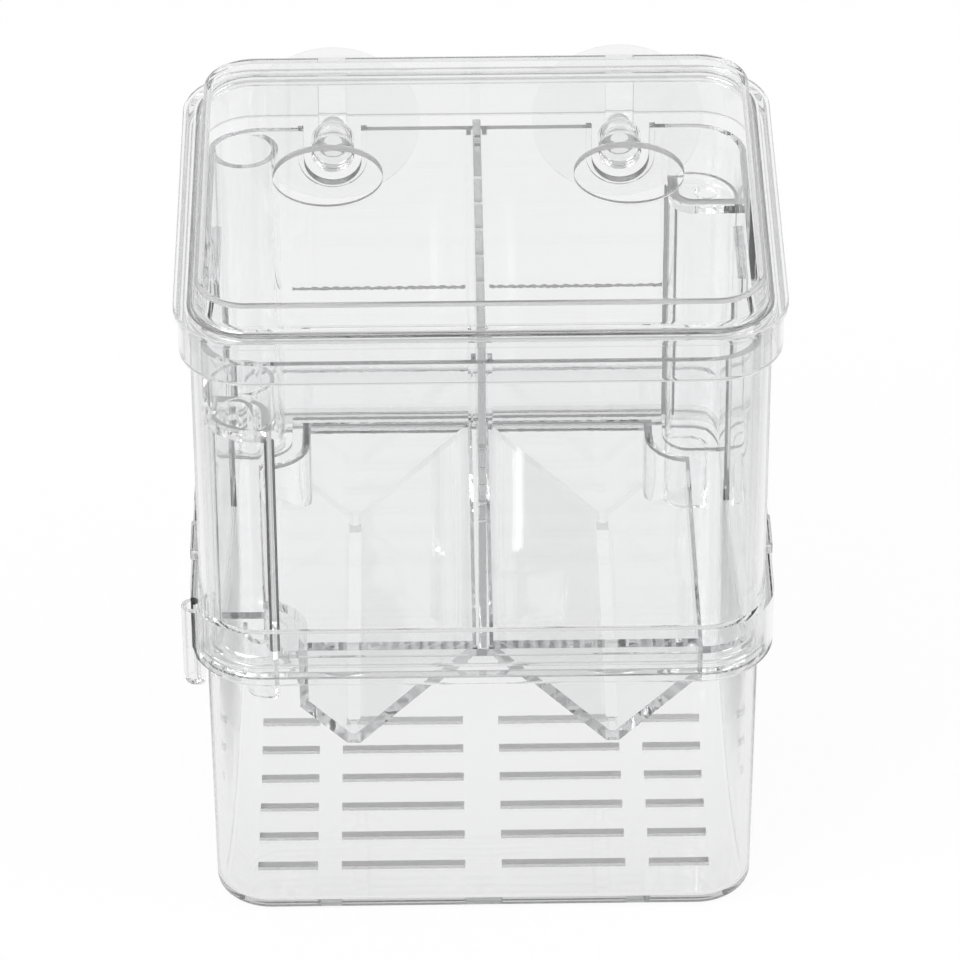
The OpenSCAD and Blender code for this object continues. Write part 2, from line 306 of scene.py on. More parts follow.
def take(piece: bpy.types.Object) -> None:
    """Make piece the only selected and active object."""
    let_go()
    piece.select_set(True)
    bpy.context.view_layer.objects.active = piece


def named(name: str) -> bpy.types.Object:
    """Name the object just added and put its place in its mesh.

    Args:
        name: the new name.

    Returns:
        The object.
    """
    piece = bpy.context.object
    piece.name = name
    piece.data.name = name
    bpy.ops.object.transform_apply(location=True, rotation=True, scale=True)
    return piece


def edit(piece: bpy.types.Object) -> bmesh.types.BMesh:
    """Open a piece in edit mode.

    Args:
        piece: the object.

    Returns:
        Its edit mesh.
    """
    take(piece)
    bpy.ops.object.mode_set(mode="EDIT")
    return bmesh.from_edit_mesh(piece.data)


def pick(piece: bpy.types.Object, test: Callable[[Vector], bool]) -> None:
    """Select in edit mode the points that test accepts by their place in millimetres.

    Args:
        piece: the object, already in edit mode.
        test: takes a place and says whether it is wanted.
    """
    bpy.ops.mesh.select_mode(type="VERT")
    bpy.ops.mesh.select_all(action="DESELECT")
    mesh = bmesh.from_edit_mesh(piece.data)
    for point in [v for v in mesh.verts if test(v.co / MM)]:
        point.select_set(True)
    mesh.select_flush_mode()
    bmesh.update_edit_mesh(piece.data)


def plate(name: str, outline: Outline, offset: float, z: float, steps: int = ARC_STEPS) -> bpy.types.Object:
    """Add a flat plate with the outline's rounded corners, and stay in edit mode with it selected.

    Args:
        name: the piece's name.
        outline: its shape from above.
        offset: how far the plate reaches past the outline.
        z: its height.
        steps: straight steps along each rounded corner.

    Returns:
        The piece.
    """
    let_go()
    middle = ((outline.x0 + outline.x1) / 2 * MM, (outline.y0 + outline.y1) / 2 * MM, z * MM)
    bpy.ops.mesh.primitive_plane_add(size=1.0, location=middle)
    bpy.context.object.scale = ((outline.x1 - outline.x0) * MM, (outline.y1 - outline.y0) * MM, 1.0)
    piece = named(name)
    bpy.ops.object.mode_set(mode="EDIT")
    for corner in Corner:
        if outline.radii[corner] < 0.01:
            continue
        spot = outline.spot(corner)
        pick(piece, lambda p: (Vector((p.x, p.y)) - spot).length < 0.01)
        bpy.ops.mesh.bevel(offset=outline.radii[corner] * MM, segments=steps, affect="VERTICES")
    bpy.ops.mesh.select_mode(type="FACE")
    bpy.ops.mesh.select_all(action="SELECT")
    grow(piece, outline, offset)
    return piece


def grow(piece: bpy.types.Object, outline: Outline, offset: float) -> None:
    """Move the selected loop of an outline outwards.

    Args:
        piece: the object, in edit mode.
        outline: the shape that the loop follows.
        offset: how far it moves, in millimetres.
    """
    mesh = bmesh.from_edit_mesh(piece.data)
    for v in [v for v in mesh.verts if v.select]:
        way = outline.outward(Vector((v.co.x, v.co.y)) / MM)
        v.co.x += way.x * offset * MM
        v.co.y += way.y * offset * MM
    bmesh.update_edit_mesh(piece.data)


def sweep(name: str, outline: Outline, path: Sequence[Point], ring: bool = False,
          steps: int = ARC_STEPS) -> bpy.types.Object:
    """Extrude a plate step by step along a wall's profile.

    Args:
        name: the piece's name.
        outline: the shape from above that the profile follows.
        path: (offset, height) of each step in millimetres.
        ring: the profile closes on itself and leaves the middle open.
        steps: straight steps along each rounded corner.

    Returns:
        The closed shell, out of edit mode.
    """
    piece = plate(name, outline, path[0][0], path[0][1], steps)
    stops = list(path[1:]) + ([path[0]] if ring else [])
    before = path[0]
    for stop in stops:
        rise = (0.0, 0.0, (stop[1] - before[1]) * MM)
        bpy.ops.mesh.extrude_region_move(TRANSFORM_OT_translate={"value": rise})
        grow(piece, outline, stop[0] - before[0])
        before = stop
    if ring:
        mesh = bmesh.from_edit_mesh(piece.data)
        caps = sorted(mesh.faces, key=lambda f: -len(f.verts))[:2]
        bpy.ops.mesh.select_all(action="DESELECT")
        for cap in caps:
            cap.select_set(True)
        bmesh.update_edit_mesh(piece.data)
        bpy.ops.mesh.delete(type="ONLY_FACE")
    mend(piece)
    return piece


def mend(piece: bpy.types.Object) -> None:
    """Merge doubles, turn the faces outwards and leave edit mode."""
    if piece.mode != "EDIT":
        edit(piece)
    bpy.ops.mesh.select_all(action="SELECT")
    bpy.ops.mesh.remove_doubles(threshold=0.000002)
    bpy.ops.mesh.delete_loose()
    bpy.ops.mesh.select_all(action="SELECT")
    bpy.ops.mesh.normals_make_consistent(inside=False)
    bpy.ops.object.mode_set(mode="OBJECT")


def prism(name: str, shape: Sequence[Point], y0: float, y1: float) -> bpy.types.Object:
    """Extrude a shape seen from the front.

    Args:
        name: the piece's name.
        shape: (x, z) of its points in millimetres, in order.
        y0: where it starts.
        y1: where it ends, further back.

    Returns:
        The closed body, out of edit mode.
    """
    let_go()
    bpy.ops.mesh.primitive_circle_add(vertices=len(shape), radius=1.0, fill_type="NGON")
    piece = named(name)
    mesh = edit(piece)
    mesh.verts.ensure_lookup_table()
    for v, (x, z) in zip(mesh.verts, shape):
        v.co = Vector((x, y0, z)) * MM
    bmesh.update_edit_mesh(piece.data)
    bpy.ops.mesh.select_all(action="SELECT")
    bpy.ops.mesh.extrude_region_move(TRANSFORM_OT_translate={"value": (0.0, (y1 - y0) * MM, 0.0)})
    mend(piece)
    return piece


def turned(name: str, profile: Sequence[Point], x: float, z: float, steps: int = 96) -> bpy.types.Object:
    """Spin a closed profile of (radius, y) about an axis along Y through (x, z).

    Args:
        name: the piece's name.
        profile: (radius, y) in millimetres, in order round the profile.
        x: the axis's x.
        z: the axis's height.
        steps: straight steps of the full turn.

    Returns:
        The closed body, out of edit mode.
    """
    let_go()
    bpy.ops.mesh.primitive_circle_add(vertices=len(profile), radius=1.0, fill_type="NOTHING")
    piece = named(name)
    mesh = edit(piece)
    mesh.verts.ensure_lookup_table()
    for v, (radius, y) in zip(mesh.verts, profile):
        v.co = Vector((x + radius, y, z)) * MM
    bmesh.update_edit_mesh(piece.data)
    bpy.ops.mesh.select_all(action="SELECT")
    bpy.ops.mesh.spin(steps=steps, angle=math.tau, center=(x * MM, 0.0, z * MM), axis=(0.0, 1.0, 0.0))
    mend(piece)
    return piece


def drum(name: str, radius: float, x: float, y: float, z0: float, z1: float,
         sides: int = 96) -> bpy.types.Object:
    """Add an upright cylinder, in millimetres.

    Args:
        name: the piece's name.
        radius: its radius.
        x: its axis's x.
        y: its axis's y.
        z0: its foot.
        z1: its top.
        sides: straight steps round it.

    Returns:
        The cylinder.
    """
    let_go()
    bpy.ops.mesh.primitive_cylinder_add(
        vertices=sides, radius=radius * MM, depth=(z1 - z0) * MM,
        location=(x * MM, y * MM, (z0 + z1) / 2 * MM))
    return named(name)


def brick(name: str, x: Point, y: Point, z: Point) -> bpy.types.Object:
    """Add a box, in millimetres.

    Args:
        name: the piece's name.
        x: its two limits along x.
        y: its two limits along y.
        z: its two limits along z.

    Returns:
        The box.
    """
    let_go()
    middle = [sum(pair) / 2 * MM for pair in (x, y, z)]
    bpy.ops.mesh.primitive_cube_add(size=1.0, location=middle)
    bpy.context.object.scale = [abs(pair[1] - pair[0]) * MM for pair in (x, y, z)]
    return named(name)


def join(piece: bpy.types.Object, tool: bpy.types.Object, how: Join) -> None:
    """Add a tool to a piece or cut it out of it, and delete the tool.

    Args:
        piece: the piece that stays.
        tool: the shape that is used up.
        how: whether it is added or cut.
    """
    take(piece)
    step = piece.modifiers.new("join", "BOOLEAN")
    step.operation = how.value
    step.solver = "EXACT"
    step.object = tool
    bpy.ops.object.modifier_apply(modifier=step.name)
    bpy.data.objects.remove(tool, do_unlink=True)


def add(piece: bpy.types.Object, tool: bpy.types.Object) -> None:
    """Weld tool on to piece."""
    join(piece, tool, Join.ADD)


def cut(piece: bpy.types.Object, tool: bpy.types.Object) -> None:
    """Cut tool out of piece."""
    join(piece, tool, Join.CUT)


def soften(piece: bpy.types.Object, width: float = 0.3, segments: int = 3, angle: float = 40.0) -> None:
    """Round the edges of a finished piece and set its shading.

    Args:
        piece: the piece.
        width: the rounding in millimetres.
        segments: steps of the rounding.
        angle: edges sharper than this are rounded, in degrees.
    """
    take(piece)
    bpy.ops.object.mode_set(mode="EDIT")
    bpy.ops.mesh.select_all(action="SELECT")
    bpy.ops.mesh.remove_doubles(threshold=0.000004)
    bpy.ops.mesh.dissolve_limited(angle_limit=math.radians(0.3))
    bpy.ops.object.mode_set(mode="OBJECT")
    edge = piece.modifiers.new("edge", "BEVEL")
    edge.width = width * MM
    edge.segments = segments
    edge.limit_method = "ANGLE"
    edge.angle_limit = math.radians(angle)
    edge.use_clamp_overlap = True
    bpy.ops.object.modifier_apply(modifier=edge.name)
    bpy.ops.object.shade_smooth_by_angle(angle=math.radians(50.0))
    even = piece.modifiers.new("even", "WEIGHTED_NORMAL")
    even.keep_sharp = True
    bpy.ops.object.modifier_apply(modifier=even.name)


def dress(piece: bpy.types.Object, finish: bpy.types.Material, body: str, slot: str, *nodes: str) -> None:
    """Give a piece its finish, its body and the nodes that it stands for.

    Args:
        piece: the finished mesh.
        finish: its main material.
        body: the body that it rides on.
        slot: not used.
        nodes: the solids that it replaces.
    """
    piece.data.materials.clear()
    piece.data.materials.append(finish)
    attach(piece, body)
    if nodes:
        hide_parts(*nodes)
    LOG.info("%s rides on %s", piece.name, body)


def finish_faces(piece: bpy.types.Object, finish: bpy.types.Material,
                 test: Callable[[Vector, Vector], bool]) -> None:
    """Give another finish to the faces that test accepts by middle and normal.

    Args:
        piece: the dressed piece.
        finish: the finish of those faces.
        test: takes a face's middle in millimetres and its normal.
    """
    piece.data.materials.append(finish)
    last = len(piece.data.materials) - 1
    for face in piece.data.polygons:
        if test(face.center / MM, face.normal):
            face.material_index = last


def arc(x: float, z: float, r: float, start: float, end: float, steps: int = 6) -> list[Point]:
    """Points of an arc about (x, z).

    Args:
        x: middle along the first axis.
        z: middle along the second axis.
        r: radius.
        start: first angle in degrees.
        end: last angle in degrees.
        steps: straight steps along it.

    Returns:
        The points, both ends included.
    """
    turn = [math.radians(start + (end - start) * i / steps) for i in range(steps + 1)]
    return [(x + r * math.cos(a), z + r * math.sin(a)) for a in turn]


# Sub-assemblies


@dataclass
class Lid:
    """Lid with its flange, skirt, raised middle and two feeding holes."""

    w: float = 138.5
    d: float = 116.0
    r: float = 17.0
    wall: float = 1.6
    rim: float = 165.0
    rise: float = 7.0
    skirt: float = 12.4
    hole_r: float = 12.6
    hole_x: float = 34.6
    hole_y: float = 0.8

    def build(self, finish: bpy.types.Material, edge: bpy.types.Material, bond: bpy.types.Material) -> None:
        """Make the lid."""
        flange = self.rim + self.wall
        top = flange + self.rise
        low = flange - self.skirt
        path = [(-6.8, top - self.wall), (-6.3, self.rim + AIR), (-2.55, self.rim + AIR)]
        path += arc(-1.75, low + 0.8, 0.8, 180, 360)
        path += [(-0.95, flange - 1.9)] + arc(-0.4, flange - 1.5, 0.4, 270, 360, 3)
        path += arc(-0.5, flange - 0.5, 0.5, 0, 90, 4)
        path += arc(-2.9, flange + 1.8, 1.8, 270, 180)
        path += arc(-6.2, top - 1.0, 1.0, 0, 90)
        piece = sweep("lid_shell", Outline.centred(self.w, self.d, self.r), path)
        for side in Side:
            cut(piece, drum("way", self.hole_r, side.value * self.hole_x, self.hole_y, top - 3.0, top + 1.0))
        soften(piece, 0.25)
        dress(piece, finish, "lid_body", "clear_box", "lid")
        holes = [Vector((side.value * self.hole_x, self.hole_y)) for side in Side]
        # Painted shade: the walls of the feeding holes are tinted mid grey.
        finish_faces(piece, edge, lambda p, n: abs(n.z) < 0.6 and min((p.xy - h).length for h in holes)
                     < self.hole_r + 0.3)
        finish_faces(piece, bond, lambda p, n: p.z > top - 1.1 and 0.05 < n.z < 0.96
                     and min((p.xy - h).length for h in holes) > self.hole_r + 1.0)


@dataclass
class UpperBox:
    """Straight-walled upper box with its lip, neck slots and stops."""

    w: float = 131.6
    d: float = 109.8
    r: float = 14.8
    wall: float = 1.8
    foot: float = 71.3
    rim: float = 165.0
    lip: float = 2.2
    slot_w: float = 6.6
    cup_x: float = 34.2
    cup_z: float = 150.0
    stop_z: float = 85.2

    def build(self, finish: bpy.types.Material, edge: bpy.types.Material) -> None:
        """Make the upper box."""
        inner = -self.wall - self.lip
        path = [
            (inner, self.foot + AIR), (0.0, self.foot + AIR), (0.0, self.rim), (-self.wall, self.rim),
            (-self.wall, self.foot + 2.0), (inner, self.foot + 2.0),
        ]
        piece = sweep("upper_box_shell", Outline.centred(self.w, self.d, self.r), path, ring=True)
        for side in Side:
            x = side.value * self.cup_x
            half = self.slot_w / 2
            slot = [(x + half * math.cos(a), self.cup_z + half * math.sin(a))
                    for a in [math.pi + math.pi * i / 24 for i in range(25)]]
            slot += [(x + half, self.rim + 2.0), (x - half, self.rim + 2.0)]
            cut(piece, prism("neck_slot", slot, self.d / 2 - self.wall - 0.5, self.d / 2 + 0.5))
            face = side.value * self.w / 2
            stop = brick("stop", (face - side.value * 0.9, face + side.value * 2.4), (-28.0, -16.0),
                         (self.stop_z + AIR, self.stop_z + 3.0))
            add(piece, stop)
        soften(piece, 0.3)
        dress(piece, finish, "upper", "clear_box", "upper_box")
        # Painted shade: the neck slots' walls and the back rim's top are tinted mid grey.
        finish_faces(piece, edge, lambda p, n: p.y > 52.0 and abs(n.y) < 0.4 and p.z < self.rim - 0.2
                     and abs(abs(p.x) - self.cup_x) < self.slot_w / 2 + 0.3 and p.z > 140.0
                     or n.z > 0.95 and p.z > self.rim - 0.05 and p.y > 50.0)


@dataclass
class LowerBox:
    """Slotted lower box with its shoulder, collar and tab."""

    w: float = 128.0
    d: float = 108.0
    r: float = 13.3
    wall: float = 1.8
    lean: float = 0.5
    seat: float = 71.3
    rim: float = 85.2
    collar: tuple[float, float, float] = (136.0, 114.2, 17.0)
    rows: int = 6
    pitch: float = 11.25
    rows_y: float = -9.9
    slot_w: float = 2.0
    spans: tuple[Point, ...] = ((4.4, 34.2), (39.9, 54.4))

    def profile(self) -> list[Point]:
        """Offsets and heights from the underside over the wall's top to the floor."""
        inside = [(x - self.wall, z) for x, z in arc(-1.8, 3.8, 1.8, 360, 270)]
        top = [(self.lean, self.seat - 4.2), (self.lean, self.seat), (self.lean - 0.9, self.seat),
               (self.lean - self.wall, self.seat - 4.2)]
        return arc(-2.6, 2.6, 2.6, -90, 0, 8) + top + inside

    def collar_ring(self) -> bpy.types.Object:
        """Shoulder, seat and collar in one ring."""
        shoulder = self.seat - 4.2
        path = [(-4.3, shoulder), (-3.7, shoulder), (-0.4, self.seat - 1.2), (0.0, self.seat - 0.5),
                (0.0, self.rim), (-1.8, self.rim), (-1.8, self.seat), (-4.3, self.seat)]
        return sweep("collar", Outline.centred(*self.collar), path, ring=True)

    def slots(self) -> Iterable[tuple[Point, Point]]:
        """X and y limits of every slot in the floor."""
        for row in range(self.rows):
            y = self.rows_y + (row - (self.rows - 1) / 2) * self.pitch
            for side in Side:
                for near, far in self.spans:
                    ends = sorted((side.value * near, side.value * far))
                    yield (ends[0], ends[1]), (y - self.slot_w / 2, y + self.slot_w / 2)

    def build(self, finish: bpy.types.Material, light_grey_shade: bpy.types.Material) -> None:
        """Make the lower box."""
        piece = sweep("lower_box_shell", Outline.centred(self.w, self.d, self.r), self.profile())
        add(piece, self.collar_ring())
        tab = Outline(-70.0, -64.8, -46.8, -41.2, {
            Corner.FRONT_LEFT: 2.7, Corner.BACK_LEFT: 2.7, Corner.FRONT_RIGHT: 0.0, Corner.BACK_RIGHT: 0.0})
        add(piece, sweep("tab", tab, [(-2.0, 62.0), (-0.6, 62.6), (0.0, 64.0), (0.0, 84.0)]))
        room = Outline.centred(*self.collar)
        cut(piece, sweep("collar_room", room, [(-1.8, self.seat), (-1.8, 120.0)]))
        cut(piece, drum("well", 1.5, -67.4, -44.0, 64.0, 86.0, 48))
        for x, y in self.slots():
            cut(piece, brick("slot", x, y, (-1.0, 3.0)))
        soften(piece, 0.18)
        dress(piece, finish, "lower", "clear_box", "lower_box")
        # Painted shade: the walls of the floor slots are tinted light grey.
        finish_faces(piece, light_grey_shade, lambda p, n: abs(n.z) < 0.6 and 0.1 < p.z < 1.9 and abs(p.x) < 55.0
                     and abs(p.y) < 42.0)


@dataclass
class TrayPlan:
    """Sizes that the tray, its floor and the divider share."""

    w: float = 126.8
    d: float = 97.2
    r: float = 12.6
    y: float = -4.0
    wall: float = 1.6
    foot: float = 73.3
    ledge: float = 75.3
    plate_top: float = 77.3
    rim: float = 158.0
    front_post: Point = (15.8, 15.9)
    front_room: Point = (17.6, 15.9)
    back_post: Point = (18.0, 15.9)

    def corner_box(self, corner: Corner, size: Point, out: float, inside: float) -> Outline:
        """Outline of a post that stands in a corner of the tray.

        Args:
            corner: which corner it stands in.
            size: the post's width and depth from the tray's outside.
            out: how far it stays in from the tray's two outsides.
            inside: how far it stays in from the faces that look into the tray.

        Returns:
            The outline.
        """
        sx, sy = corner.value
        outer_x, outer_y = sx * self.w / 2, self.y + sy * self.d / 2
        xs = sorted((outer_x - sx * out, outer_x - sx * (size[0] - inside)))
        ys = sorted((outer_y - sy * out, outer_y - sy * (size[1] - inside)))
        radii = {c: 0.0 for c in Corner}
        radii[corner] = self.r - out
        radii[Corner((-sx, -sy))] = 6.0 - inside
        return Outline(xs[0], xs[1], ys[0], ys[1], radii)


@dataclass
class SpawningTray:
    """Inner tray with its posts, riser, notches, rails and side pads."""

    plan: TrayPlan = field(default_factory=TrayPlan)
    post_in: float = 0.1
    post_wall: float = 1.1
    rim_wall: float = 2.4
    fillet_r: float = 0.5
    ring_wall: float = 1.0
    # The upper bead carries the near-black painted shade and the lower one the mid grey painted shade.
    painted_shade_bead_z: float = 113.3
    light_bead_z: float = 88.0
    post_step: float = 7.4
    post_start: float = 74.6
    post_foot: float = 57.0
    front_top: float = 139.0
    back_top: float = 145.4
    cap_depth: float = 3.0
    rim_depth: float = 1.4
    pad_t: float = 1.2
    pad_y: Point = (6.0, 37.0)
    pad_top: float = 139.3
    ring_r: float = 7.3
    ring_spot: Point = (9.4, 8.5)
    riser_r: float = 8.2
    notch_r: float = 6.85
    notch_z: float = 150.6
    cup_x: float = 34.2

    def post(self, piece: bpy.types.Object, corner: Corner, size: Point,
             top: float) -> list[bpy.types.Object]:
        """Weld a corner post on to the tray.

        Args:
            piece: the tray.
            corner: where it stands.
            size: its width and depth.
            top: the height of its rim.

        Returns:
            The tools that hollow it, to be cut once all is welded.
        """
        plan = self.plan
        wall, cap = self.post_wall, top - self.cap_depth
        add(piece, sweep("post", plan.corner_box(corner, size, self.post_in, 0.0),
                         [(0.0, self.post_start), (0.0, top)]))
        add(piece, sweep("post_foot", plan.corner_box(corner, size, self.post_step, 0.0),
                         [(-2.0, self.post_foot), (-0.6, self.post_foot + 0.6), (0.0, self.post_foot + 2.0),
                          (0.0, self.post_start + 0.5)]))
        inner = plan.corner_box(corner, size, self.post_in + wall, wall)
        low = plan.corner_box(corner, size, self.post_step + wall, wall)
        spot_x = corner.value[0] * (plan.w / 2 - size[0] / 2)
        spot_y = plan.y + corner.value[1] * (plan.d / 2 - size[1] / 2)
        return [
            sweep("post_room", inner, [(0.0, plan.ledge), (0.0, cap)]),
            sweep("foot_room", low, [(0.0, self.post_foot + wall), (0.0, plan.ledge + 0.5)]),
            sweep("post_rim", plan.corner_box(corner, size, self.post_in + self.rim_wall, self.rim_wall),
                  [(0.0, top - self.rim_depth), (0.0, top + 1.0)]),
            drum("tube_hole", 2.75, spot_x, spot_y, cap - 1.0, top + 1.0, 48),
        ]

    def fillets(self) -> Iterable[tuple[float, float, float]]:
        """Place and top of the beads where a post's wall meets the tray's wall."""
        plan = self.plan
        for corner, size, top in ((Corner.FRONT_LEFT, plan.front_post, self.front_top - self.cap_depth),
                                  (Corner.BACK_RIGHT, plan.back_post, self.back_top - self.cap_depth)):
            sx, sy = corner.value
            face = sx * (plan.w / 2 - size[0])
            y = plan.y + sy * (plan.d / 2 - plan.wall - 0.2)
            yield face - sx * 0.1, y, top
            yield face + sx * (self.post_wall + 0.1), y, top

    def build(self, finish: bpy.types.Material, light_grey_shade: bpy.types.Material, edge: bpy.types.Material,
              dark: bpy.types.Material) -> None:
        """Make the tray."""
        plan = self.plan
        inner = -plan.wall - 1.0
        path = [(inner, plan.foot + AIR)] + arc(-1.2, plan.foot + 1.2 + AIR, 1.2, 270, 360, 4)
        path += [(0.0, plan.rim), (-plan.wall, plan.rim), (-plan.wall, plan.ledge), (inner, plan.ledge)]
        piece = sweep("tray_shell", Outline.centred(plan.w, plan.d, plan.r, plan.y), path, ring=True)
        front, back = plan.y - plan.d / 2, plan.y + plan.d / 2
        tools = self.post(piece, Corner.FRONT_LEFT, plan.front_post, self.front_top)
        tools += self.post(piece, Corner.BACK_RIGHT, plan.back_post, self.back_top)
        riser_x, riser_y = -plan.w / 2 + self.riser_r + 0.1, back - self.riser_r - 0.1
        add(piece, drum("riser", self.riser_r, riser_x, riser_y, self.post_start, 157.2))
        tools.append(drum("riser_room", self.riser_r - plan.wall, riser_x, riser_y,
                          self.post_start + 2.0, 165.0))
        for y in (front + plan.wall / 2, back - plan.wall / 2 - 3.3):
            for side in Side:
                add(piece, brick("rail", (side.value * 1.3, side.value * 2.4), (y, y + 3.3),
                                 (plan.plate_top, plan.rim)))
        for side in Side:
            face = side.value * (plan.w / 2 - plan.wall)
            add(piece, brick("pad", (face - side.value * self.pad_t, face + side.value * 0.8), self.pad_y,
                             (plan.plate_top, self.pad_top)))
            x = side.value * self.cup_x
            add(piece, self.notch(x, self.notch_r + 1.3, plan.rim, back - 0.8, back + 0.8))
            tools.append(self.notch(x, self.notch_r, plan.rim + 2.0, back - 2.1, back + 1.3))
        for tool in tools:
            cut(piece, tool)
        self.ring(piece)
        # These fillet beads are there to carry the near-black painted shade for the dark double line along
        # each post.
        for x, y, top in self.fillets():
            add(piece, drum("fillet", self.fillet_r, x, y, plan.plate_top + 0.1, top + 0.4, 20))
        for z in (self.painted_shade_bead_z, self.light_bead_z):
            for side in Side:
                add(piece, self.bead(side, z, back - plan.wall))
        soften(piece, 0.22)
        dress(piece, finish, "tray", "clear_box", "spawning_tray")
        # Painted shade: the rim tops of the corner posts are tinted light grey.
        finish_faces(piece, light_grey_shade, lambda p, n: n.z > 0.95 and abs(p.x) > 44.0
                     and min(abs(p.z - self.front_top), abs(p.z - self.back_top)) < 0.05)

        def on_bead(p: Vector, z: float) -> bool:
            """Whether a place is on the face of the bead at height z."""
            return abs(p.x) < 44.8 and -1.0 < p.y - back + plan.wall < -0.02 and abs(p.z - z) < 0.8

        # Painted shade: the notch walls at the top of the back wall and the lower bead are tinted mid grey.
        finish_faces(piece, edge, lambda p, n: p.y > back - plan.wall - 0.2 and abs(n.y) < 0.4
                     and abs(p.x) < 52.0 and p.z > self.notch_z - self.notch_r - 0.5
                     or on_bead(p, self.light_bead_z))
        spots = list(self.fillets())
        # Painted shade: the upper bead and the sides of the fillet beads are tinted near black.
        finish_faces(piece, dark, lambda p, n: on_bead(p, self.painted_shade_bead_z) or (abs(n.z) < 0.3 and any(
            math.hypot(p.x - x, p.y - y) < self.fillet_r + 0.05 for x, y, _ in spots)))

    def bead(self, side: Side, z: float, y: float) -> bpy.types.Object:
        """Uneven bead along the inside of the back wall, from the rails to the posts.

        Args:
            side: the half of the wall that it is on.
            z: its height.
            y: the wall's inside face.

        Returns:
            The bead.
        """
        steps = [2.9 + 41.7 * i / 50 for i in range(51)]
        upper = [(side.value * x, z + 0.36 + 0.2 * math.sin(5.1 * x)) for x in steps]
        lower = [(side.value * x, z - 0.28 - 0.16 * math.sin(3.7 * x + 1.0)) for x in reversed(steps)]
        return prism("bead", upper + lower, y - 0.3, y + 0.5)

    def notch(self, x: float, radius: float, top: float, y0: float, y1: float) -> bpy.types.Object:
        """Upright U, closed at its top.

        Args:
            x: its middle.
            radius: radius of its round foot.
            top: height of its top.
            y0: where it starts.
            y1: where it ends, further back.

        Returns:
            The U.
        """
        shape = arc(x, self.notch_z, radius, 180, 360, 32) + [(x + radius, top), (x - radius, top)]
        return prism("notch", shape, y0, y1)

    def ring(self, piece: bpy.types.Object) -> None:
        """Weld the ring that stands on the front post's cap."""
        plan = self.plan
        x = -plan.w / 2 + self.ring_spot[0]
        y = plan.y - plan.d / 2 + self.ring_spot[1]
        hoop = drum("ring", self.ring_r, x, y, 136.8, 149.0)
        cut(hoop, drum("ring_room", self.ring_r - self.ring_wall, x, y, 135.0, 151.0))
        add(piece, hoop)


@dataclass
class TroughFloor:
    """The two V troughs and the plate between them."""

    plan: TrayPlan = field(default_factory=TrayPlan)
    middle: float = 30.4
    flat: float = 1.5
    bottom: float = 48.0
    reach: float = 51.0
    wall: float = 2.0
    side_wall: float = 1.0
    slit: float = 3.0
    slit_half: float = 39.0
    post_r: float = 6.0

    def outline(self, side: Side, t: float) -> list[Point]:
        """One trough seen from the front.

        Args:
            side: left or right.
            t: how far inside its outer face the shape lies.

        Returns:
            (x, z) of its corners in millimetres.
        """
        top = self.plan.plate_top + (0.5 if t else 0.0)
        flat = self.flat - t * math.tan(math.pi / 8)
        low = self.bottom + t
        far = self.reach - (self.side_wall if t else 0.0)
        shape = [(self.middle - flat - (top - low), top), (self.middle - flat, low),
                 (self.middle + flat, low), (far, low + far - self.middle - flat), (far, top)]
        return [(side.value * x, z) for x, z in shape]

    def post_rooms(self, gap: float) -> Iterable[bpy.types.Object]:
        """Blocks that keep the floor clear of the posts.

        Args:
            gap: the room left round each post.

        Yields:
            One block for each corner with a post or the riser.
        """
        plan = self.plan
        for corner, size in ((Corner.FRONT_LEFT, plan.front_room), (Corner.BACK_LEFT, (17.6, 17.2)),
                             (Corner.BACK_RIGHT, plan.back_post)):
            sx, sy = corner.value
            edge_x, edge_y = sx * (plan.w / 2 + 1.0), plan.y + sy * (plan.d / 2 + 1.0)
            xs = sorted((edge_x, edge_x - sx * (size[0] + 1.0 + gap)))
            ys = sorted((edge_y, edge_y - sy * (size[1] + 1.0 + gap)))
            radii = {c: 0.0 for c in Corner}
            radii[Corner((-sx, -sy))] = self.post_r + gap
            yield sweep("room", Outline(xs[0], xs[1], ys[0], ys[1], radii), [(0.0, 40.0), (0.0, 90.0)])

    def build(self, finish: bpy.types.Material, bond: bpy.types.Material) -> None:
        """Make the trough floor."""
        plan = self.plan
        front = plan.y - plan.d / 2 + plan.wall + 1.3
        back = plan.y + plan.d / 2 - plan.wall - 1.3
        sheet = Outline.centred(plan.w - 3.5, plan.d - 3.5, plan.r - 1.75, plan.y)
        piece = sweep("trough_shell", sheet, [(0.0, plan.ledge + AIR), (0.0, plan.plate_top)])
        for room in self.post_rooms(0.5):
            cut(piece, room)
        for side in Side:
            body = prism("trough", self.outline(side, 0.0), front, back)
            hollow = prism("hollow", self.outline(side, self.wall), front + self.wall, back - self.wall)
            for room in self.post_rooms(3.0):
                cut(body, room)
            for room in self.post_rooms(3.0 + self.wall):
                cut(hollow, room)
            add(piece, body)
            cut(piece, hollow)
        for side in Side:
            x = side.value * self.middle
            y = (front + back) / 2
            cut(piece, brick("slit", (x - self.slit / 2, x + self.slit / 2),
                             (y - self.slit_half, y + self.slit_half),
                             (self.bottom - 3.0, self.bottom + 5.0)))
        soften(piece, 0.2)
        dress(piece, finish, "tray", "clear_box", "trough_floor")
        finish_faces(piece, bond, lambda p, n: abs(n.z) < 0.5 and p.y > back - 16.0
                     and plan.ledge + 0.1 < p.z < plan.plate_top - 0.1)


